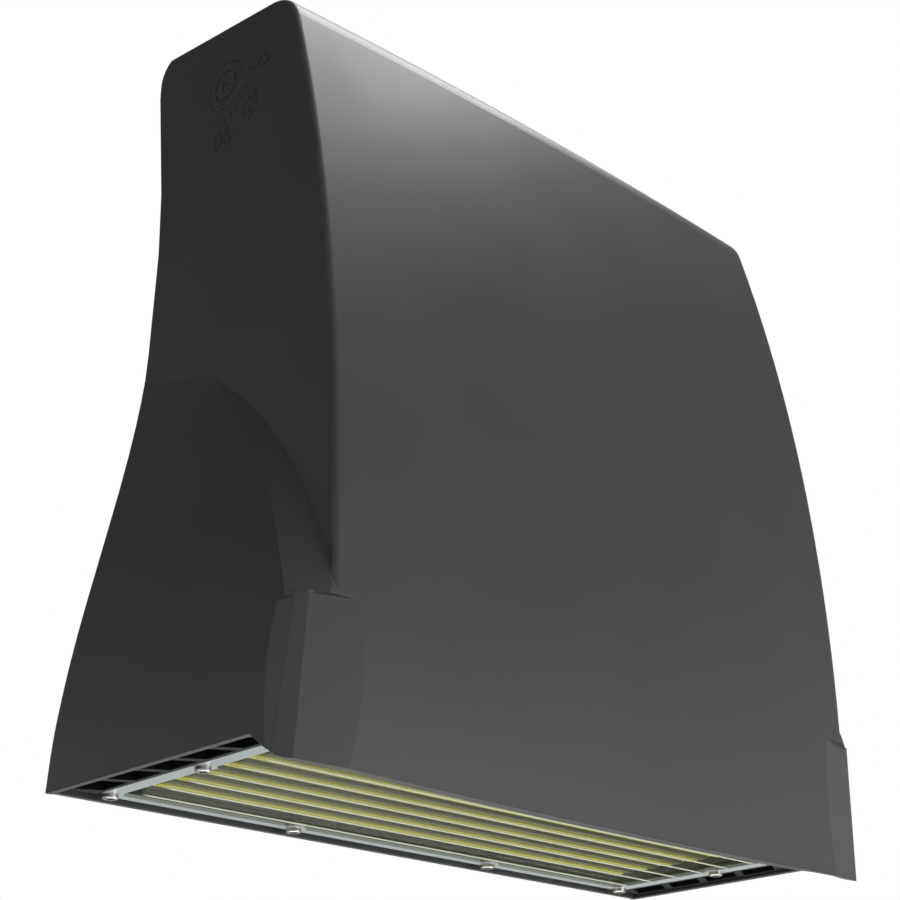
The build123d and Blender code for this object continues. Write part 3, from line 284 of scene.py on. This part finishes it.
@dataclass(frozen=True)
class PhosphorBead:
    """Dispensed silicone with yellow phosphor over a row of diodes."""

    name: str = "silicone_phosphor_dispensed"
    shade: str = "#cbc93a"
    over_diode: str = "#dad84c"
    diode_pitch_mm: float = 2.4
    roughness: float = 0.45
    ior: float = 1.41
    # Blender's wave node turns through this many radians in each metre at a scale of one
    wave_turn: float = 20.0

    def material(self) -> bpy.types.Material:
        """Builds the finish.

        Returns:
            The node-based material.
        """
        made = bpy.data.materials.new(self.name)
        made.use_nodes = True
        tree = made.node_tree
        shader = tree.nodes["Principled BSDF"]
        place = add_node(tree, "ShaderNodeTexCoord", {}, {}).outputs["Object"]
        # the buried diodes show as paler spots, one each pitch along the bead
        scale = per_metre(self.diode_pitch_mm) / self.wave_turn * math.pi * 2
        spots = add_node(
            tree,
            "ShaderNodeTexWave",
            {"Scale": scale, "Distortion": 0.3},
            {"Vector": place},
        )
        tone = add_node(tree, "ShaderNodeMix", {"data_type": "RGBA"}, {"Factor": spots.outputs["Fac"]})
        tone.inputs[FIRST_COLOUR].default_value = linear(self.shade)
        tone.inputs[SECOND_COLOUR].default_value = linear(self.over_diode)
        tree.links.new(tone.outputs[MIXED_COLOUR], shader.inputs["Base Color"])
        shader.inputs["Roughness"].default_value = self.roughness
        shader.inputs["IOR"].default_value = self.ior
        return made


# Powder coat on die-cast aluminium: satin, with a fine orange peel.
CAST_COAT = Finish(
    name="polyester_powder_coat_satin_charcoal",
    make=Make.COATED,
    shade="#39393a",
    worn_shade="#3e3e3f",
    roughness=0.4,
    grain_mm=1.2,
    relief_mm=0.02,
    specular=0.3,
)
# The same coat inside the mouth, painted darker and duller than its own colour as shade for the
# recesses of the tray.
TRAY_COAT_WITH_PAINTED_SHADE = Finish(
    name="polyester_powder_coat_black_painted_shade",
    make=Make.COATED,
    shade="#18181a",
    worn_shade="#1e1e20",
    roughness=0.45,
    grain_mm=1.2,
    relief_mm=0.02,
    specular=0.1,
)
# Enamel over stamped sheet: pale and glossy, almost a mirror at a low angle.
FRAME_ENAMEL = Finish(
    name="enamel_sprayed_light_grey",
    make=Make.COATED,
    shade="#b3bab9",
    worn_shade="#a2abab",
    roughness=0.16,
    grain_mm=1.4,
    relief_mm=0.01,
)
# Crests of the lens ribs: pale lines in the gloss of the clear plastic, a painted highlight standing
# in for the reflections along each rib.
RIB_HIGHLIGHT_PAINT = Finish(
    name="rib_highlight_painted_white",
    make=Make.MOULDED,
    shade="#d9dccf",
    worn_shade="#c9ccbc",
    roughness=0.3,
    ior=1.585,
    grain_mm=2.0,
)
# Zinc plated sheet steel: cool grey with the mill's grain.
ZINC_STEEL = Finish(
    name="sheet_steel_zinc_plated",
    make=Make.BRUSHED,
    shade="#b9bdc2",
    worn_shade="#a9adb3",
    roughness=0.32,
    metallic=1.0,
    grain_mm=0.6,
)
# Stainless screws: cold headed, bright.
STAINLESS = Finish(
    name="stainless_steel_cold_headed",
    make=Make.BRUSHED,
    shade="#c4c2bd",
    worn_shade="#b4b2ae",
    roughness=0.25,
    metallic=1.0,
    grain_mm=0.5,
)
# Silicone sealing cord and sheet: dark, almost without gloss.
SILICONE = Finish(
    name="silicone_rubber_moulded",
    make=Make.MOULDED,
    shade="#262626",
    worn_shade="#303030",
    roughness=0.7,
    ior=1.41,
    grain_mm=0.7,
)
# Nylon glands and cases: black with a spark-eroded mould texture.
NYLON = Finish(
    name="nylon_moulded_black",
    make=Make.MOULDED,
    shade="#1d1d1e",
    worn_shade="#262627",
    roughness=0.5,
    ior=1.53,
    grain_mm=0.5,
    relief_mm=0.02,
)
# Ground screw: steel under green dye.
GREEN_DYE = Finish(
    name="steel_dyed_green",
    make=Make.COATED,
    shade="#1d6a38",
    worn_shade="#257a42",
    roughness=0.3,
    metallic=0.4,
    grain_mm=0.6,
)
# Circuit board under olive solder mask.
SOLDER_MASK = Finish(
    name="solder_mask_screened_olive",
    make=Make.MOULDED,
    shade="#4c4f2a",
    worn_shade="#56592f",
    roughness=0.35,
    grain_mm=3.0,
)
# Extruded heat sink, left bare.
EXTRUDED = Finish(
    name="aluminium_extruded_bare",
    make=Make.BRUSHED,
    shade="#cfd0d2",
    worn_shade="#bfc1c4",
    roughness=0.38,
    metallic=1.0,
    grain_mm=0.6,
)
# Driver case: white enamel on drawn aluminium.
CASE_ENAMEL = Finish(
    name="enamel_sprayed_white",
    make=Make.COATED,
    shade="#d9d9d4",
    worn_shade="#cfcfca",
    roughness=0.4,
    grain_mm=1.5,
)
# Lead jackets: soft vinyl.
VINYL = Finish(
    name="vinyl_extruded_black",
    make=Make.MOULDED,
    shade="#232324",
    worn_shade="#2b2b2c",
    roughness=0.45,
    grain_mm=1.0,
)


def dress(names: tuple[str, ...], finish: bpy.types.Material) -> None:
    """Puts one finish on CAD nodes.

    Args:
        names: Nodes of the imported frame.
        finish: Material for all of them.
    """
    for name in names:
        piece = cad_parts[name]
        piece.data.materials.clear()
        piece.data.materials.append(finish)


@dataclass
class WallMount:
    """Box, plate and hubs that stay on the wall."""

    cast: tuple[str, ...] = ("wall_box", "pivot_hub_left", "pivot_hub_right")
    sheet: tuple[str, ...] = ("mounting_plate",)
    seals: tuple[str, ...] = ("wall_gasket",)
    screws: tuple[str, ...] = ("plate_lock_screws", "hub_bolts", "friction_washers")
    plastic: tuple[str, ...] = ("terminal_block", "box_gland")

    def build(self) -> None:
        """Dresses the pieces that stay on the wall."""
        dress(self.cast, CAST.material)
        dress(self.sheet, ZINC.material)
        dress(self.seals, SEAL.material)
        dress(self.screws, SCREW.material)
        dress(self.plastic, PLASTIC.material)
        dress(("ground_screw",), GREEN_DYE.material())
        log.info("wall mount dressed")


@dataclass
class Head:
    """The tilting casting, its cover and what it carries inside."""

    shell: str = "housing"
    edge_radius_mm: float = 1.2
    cast: tuple[str, ...] = ("rear_cover",)
    seals: tuple[str, ...] = ("cover_gasket",)
    screws: tuple[str, ...] = ("cover_screws", "driver_screws")
    plastic: tuple[str, ...] = ("surge_protector", "cover_gland", "breather_vent")
    leads: tuple[str, ...] = ("input_leads", "output_leads")

    def build(self) -> None:
        """Dresses the casting and its inner parts."""
        dress(self.cast, CAST.material)
        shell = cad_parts[self.shell]
        # the finish is drawn in the shell's own coordinates, so its foot is too
        foot = min(corner[2] for corner in shell.bound_box)
        dress((self.shell,), CAST_COAT.material(Softening(self.edge_radius_mm, foot)))
        dress(self.seals, SEAL.material)
        dress(self.screws, SCREW.material)
        dress(self.plastic, PLASTIC.material)
        dress(self.leads, VINYL.material())
        dress(("driver",), CASE_ENAMEL.material())
        dress(("driver_bracket",), ZINC.material)
        log.info("head dressed")


@dataclass
class LightEngine:
    """Tray, lens and boards in the mouth of the head."""

    screws: tuple[str, ...] = ("lens_screws", "tray_screws", "heat_sink_screws")
    rows: int = 7
    strip_width: float = 0.005
    # size and place of the pale painted highlight lines along the lens ribs
    painted_highlight_half: float = 0.149
    painted_highlight_level: float = -0.3195
    painted_highlight_width: float = 0.0011
    painted_highlight_height: float = 0.0006
    taper_length: float = 0.003
    taper_share: float = 0.15
    painted_highlight_sides: int = 8

    def rib_painted_highlights(self) -> None:
        """Builds the pale painted highlight line that runs along each rib of the lens."""
        rear, front = (corner[1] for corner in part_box("phosphor_strips"))
        pitch = (front - rear - self.strip_width) / (self.rows - 1)
        mesh = bpy.data.meshes.new("lens_rib_painted_highlights")
        shape = bmesh.new()
        for row in range(self.rows):
            depth = rear + self.strip_width / 2 + row * pitch
            self.painted_highlight(shape, depth)
        bmesh.ops.recalc_face_normals(shape, faces=shape.faces)
        shape.to_mesh(mesh)
        shape.free()
        painted_highlights = bpy.data.objects.new("lens_rib_painted_highlights", mesh)
        bpy.context.scene.collection.objects.link(painted_highlights)
        # pale colour painted where the ribs reflect the light
        mesh.materials.append(RIB_HIGHLIGHT_PAINT.material())
        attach(painted_highlights, "head")
        log.info("lens_rib_painted_highlights built")

    def painted_highlight(self, shape: bmesh.types.BMesh, depth: float) -> None:
        """Adds one painted highlight line with tapered ends.

        Args:
            shape: Mesh that gets the crest.
            depth: Y of its middle line.
        """
        tip = (-self.painted_highlight_half, self.taper_share)
        full = (-self.painted_highlight_half + self.taper_length, 1.0)
        stations = [tip, full, (-full[0], full[1]), (-tip[0], tip[1])]
        rings = []
        for place, size in stations:
            ring = []
            for step in range(self.painted_highlight_sides):
                turn = 2 * math.pi * step / self.painted_highlight_sides
                y = depth + size * self.painted_highlight_width / 2 * math.cos(turn)
                z = self.painted_highlight_level + size * self.painted_highlight_height / 2 * math.sin(turn)
                ring.append(shape.verts.new((place, y, z)))
            rings.append(ring)
        for one, other in zip(rings, rings[1:]):
            for step in range(self.painted_highlight_sides):
                after = (step + 1) % self.painted_highlight_sides
                shape.faces.new((one[step], one[after], other[after], other[step]))
        shape.faces.new(rings[0])
        shape.faces.new(rings[-1])

    def build(self) -> None:
        """Dresses the tray, the lens and what shines behind it."""
        # the tray's coat is darkened with painted shade for its recesses
        dress(("light_tray",), TRAY_COAT_WITH_PAINTED_SHADE.material())
        dress(self.screws, SCREW.material)
        dress(("lens",), ClearPolycarbonate().material())
        dress(("lens_gasket",), SEAL.material)
        dress(("lens_frame",), FRAME_ENAMEL.material())
        dress(("led_boards",), SOLDER_MASK.material())
        dress(("phosphor_strips",), PhosphorBead().material())
        dress(("heat_sink",), EXTRUDED.material())
        self.rib_painted_highlights()
        log.info("light engine dressed")


@dataclass
class Shared:
    """A finish built once and used on several sub-assemblies."""

    finish: Finish
    material: bpy.types.Material = field(init=False)

    def __post_init__(self) -> None:
        """Builds the material."""
        self.material = self.finish.material()


CAST = Shared(CAST_COAT)
ZINC = Shared(ZINC_STEEL)
SCREW = Shared(STAINLESS)
SEAL = Shared(SILICONE)
PLASTIC = Shared(NYLON)


@dataclass
class Lamp:
    """One soft studio lamp aimed at the light."""

    name: str
    place: tuple[float, float, float]
    width: float
    height: float
    power: float

    def build(self, target: Vector) -> None:
        """Adds the lamp.

        Args:
            target: Point that the lamp faces.
        """
        data = bpy.data.lights.new(self.name, "AREA")
        data.shape = "RECTANGLE"
        data.size, data.size_y = self.width, self.height
        data.energy = self.power
        lamp = bpy.data.objects.new(self.name, data)
        lamp.visible_camera = False
        lamp.location = self.place
        lamp.rotation_mode = "QUATERNION"
        lamp.rotation_quaternion = (target - lamp.location).to_track_quat("-Z", "Y")
        bpy.context.scene.collection.objects.link(lamp)


@dataclass
class Studio:
    """Pale floor, soft world, lamps and the camera of the photograph."""

    floor_level: float = -1.25
    floor_half: float = 6.0
    fibre_mm: float = 3.0
    paper_roughness: float = 0.9
    fill: float = 0.05
    front_fill: float = 1.9
    horizon: float = 1.0
    high: float = 0.1
    back_share: float = 0.75
    # parts of a unit direction between which each change of the world's light runs
    ceiling_span: tuple[float, float] = (0.02, 0.55)
    wall_side_span: tuple[float, float] = (0.9, 0.1)
    front_span: tuple[float, float] = (-0.5, -1.0)
    camera_place: tuple[float, float, float] = (-0.5546, -0.6343, -0.4847)
    azimuth: float = -43.5
    elevation: float = -23.83
    lens: float = 71.44
    sensor_width: float = 36.0
    nearest: float = 0.05
    lamps: tuple[Lamp, ...] = (
        Lamp("overhead_right", (0.72, -0.34, 1.9), 1.5, 1.0, 38.0),
        Lamp("front_low", (0.95, -2.1, -0.6), 1.6, 1.2, 19.0),
        Lamp("floor_bounce", (0.25, 0.15, -1.15), 1.0, 1.0, 11.0),
        Lamp("left_edge", (-2.1, -0.1, 0.15), 0.5, 0.5, 3.0),
    )

    def floor(self) -> None:
        """Adds the pale floor under the hanging light."""
        half = self.floor_half
        corners = [(-half, -half), (half, -half), (half, half), (-half, half)]
        mesh = bpy.data.meshes.new("floor")
        mesh.from_pydata([(x, y, self.floor_level) for x, y in corners], [], [(0, 1, 2, 3)])
        floor = bpy.data.objects.new("floor", mesh)
        bpy.context.scene.collection.objects.link(floor)
        made = bpy.data.materials.new("paper_matte_white")
        made.use_nodes = True
        tree = made.node_tree
        shader = tree.nodes["Principled BSDF"]
        place = add_node(tree, "ShaderNodeTexCoord", {}, {}).outputs["Object"]
        fibre = add_node(
            tree,
            "ShaderNodeTexNoise",
            {"Scale": per_metre(self.fibre_mm), "Detail": 2.0},
            {"Vector": place},
        )
        tone = add_node(tree, "ShaderNodeMix", {"data_type": "RGBA"}, {"Factor": fibre.outputs["Fac"]})
        tone.inputs[FIRST_COLOUR].default_value = linear("#ececec")
        tone.inputs[SECOND_COLOUR].default_value = linear("#f2f2f2")
        tree.links.new(tone.outputs[MIXED_COLOUR], shader.inputs["Base Color"])
        shader.inputs["Roughness"].default_value = self.paper_roughness
        mesh.materials.append(made)
        floor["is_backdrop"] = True

    def world(self) -> None:
        """White behind the object, and dimmer soft light on it."""
        world = bpy.data.worlds.new("studio")
        bpy.context.scene.world = world
        world.use_nodes = True
        tree = world.node_tree
        tree.nodes.clear()
        path = add_node(tree, "ShaderNodeLightPath", {}, {})
        seen = add_node(
            tree,
            "ShaderNodeMath",
            {"operation": "MAXIMUM"},
            {"Value": path.outputs["Is Camera Ray"]},
        )
        tree.links.new(path.outputs["Is Transmission Ray"], seen.inputs[1])
        # gloss sees a pale horizon under a dimmer ceiling, and a dimmer wall side
        toward = add_node(tree, "ShaderNodeTexCoord", {}, {}).outputs["Generated"]
        split = add_node(tree, "ShaderNodeSeparateXYZ", {}, {"Vector": toward})
        ceiling = add_node(
            tree,
            "ShaderNodeMapRange",
            {
                "interpolation_type": "SMOOTHSTEP",
                "From Min": self.ceiling_span[0],
                "From Max": self.ceiling_span[1],
                "To Min": self.horizon,
                "To Max": self.high,
            },
            {"Value": split.outputs["Z"]},
        )
        beside = add_node(
            tree,
            "ShaderNodeMapRange",
            {
                "From Min": self.wall_side_span[0],
                "From Max": self.wall_side_span[1],
                "To Min": self.back_share,
                "To Max": 1.0,
            },
            {"Value": split.outputs["Y"]},
        )
        # the even light on dull surfaces comes mostly from in front of the wall
        soft = add_node(
            tree,
            "ShaderNodeMapRange",
            {
                "From Min": self.front_span[0],
                "From Max": self.front_span[1],
                "To Min": self.fill,
                "To Max": self.front_fill,
            },
            {"Value": split.outputs["Y"]},
        )
        studio = add_node(tree, "ShaderNodeMath", {"operation": "MULTIPLY"}, {})
        tree.links.new(ceiling.outputs["Result"], studio.inputs[0])
        tree.links.new(beside.outputs["Result"], studio.inputs[1])
        shiny = add_node(tree, "ShaderNodeMapRange", {}, {"To Min": soft.outputs["Result"]})
        tree.links.new(path.outputs["Is Glossy Ray"], shiny.inputs["Value"])
        tree.links.new(studio.outputs[0], shiny.inputs["To Max"])
        level = add_node(tree, "ShaderNodeMapRange", {"To Max": 1.0}, {"Value": seen.outputs[0]})
        tree.links.new(shiny.outputs["Result"], level.inputs["To Min"])
        sky = add_node(
            tree,
            "ShaderNodeBackground",
            {"Color": linear("#ffffff")},
            {"Strength": level.outputs["Result"]},
        )
        add_node(tree, "ShaderNodeOutputWorld", {}, {"Surface": sky.outputs[0]})

    def camera(self) -> None:
        """Adds the camera where the photograph was taken from."""
        data = bpy.data.cameras.new("photo_camera")
        data.lens = self.lens
        data.sensor_width = self.sensor_width
        data.clip_start = self.nearest
        camera = bpy.data.objects.new("photo_camera", data)
        camera.location = self.camera_place
        turn, rise = math.radians(self.azimuth), math.radians(self.elevation)
        back = Vector(
            (math.sin(turn) * math.cos(rise), -math.cos(turn) * math.cos(rise), math.sin(rise))
        )
        camera.rotation_mode = "QUATERNION"
        camera.rotation_quaternion = (-back).to_track_quat("-Z", "Y")
        bpy.context.scene.collection.objects.link(camera)
        bpy.context.scene.camera = camera

    def build(self, target: Vector) -> None:
        """Sets up the studio.

        Args:
            target: Point that the lamps face.
        """
        bpy.context.scene.view_settings.view_transform = "Standard"
        self.floor()
        self.world()
        for lamp in self.lamps:
            lamp.build(target)
        self.camera()
        log.info("studio ready")


def main() -> None:
    """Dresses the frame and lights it."""
    logging.basicConfig(level=logging.INFO)
    solid_box = [list(corner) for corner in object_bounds()]
    for assembly in (WallMount(), Head(), LightEngine()):
        assembly.build()
    low, high = (Vector(corner) for corner in solid_box)
    Studio().build((low + high) / 2)


if __name__ == "__main__":
    main()
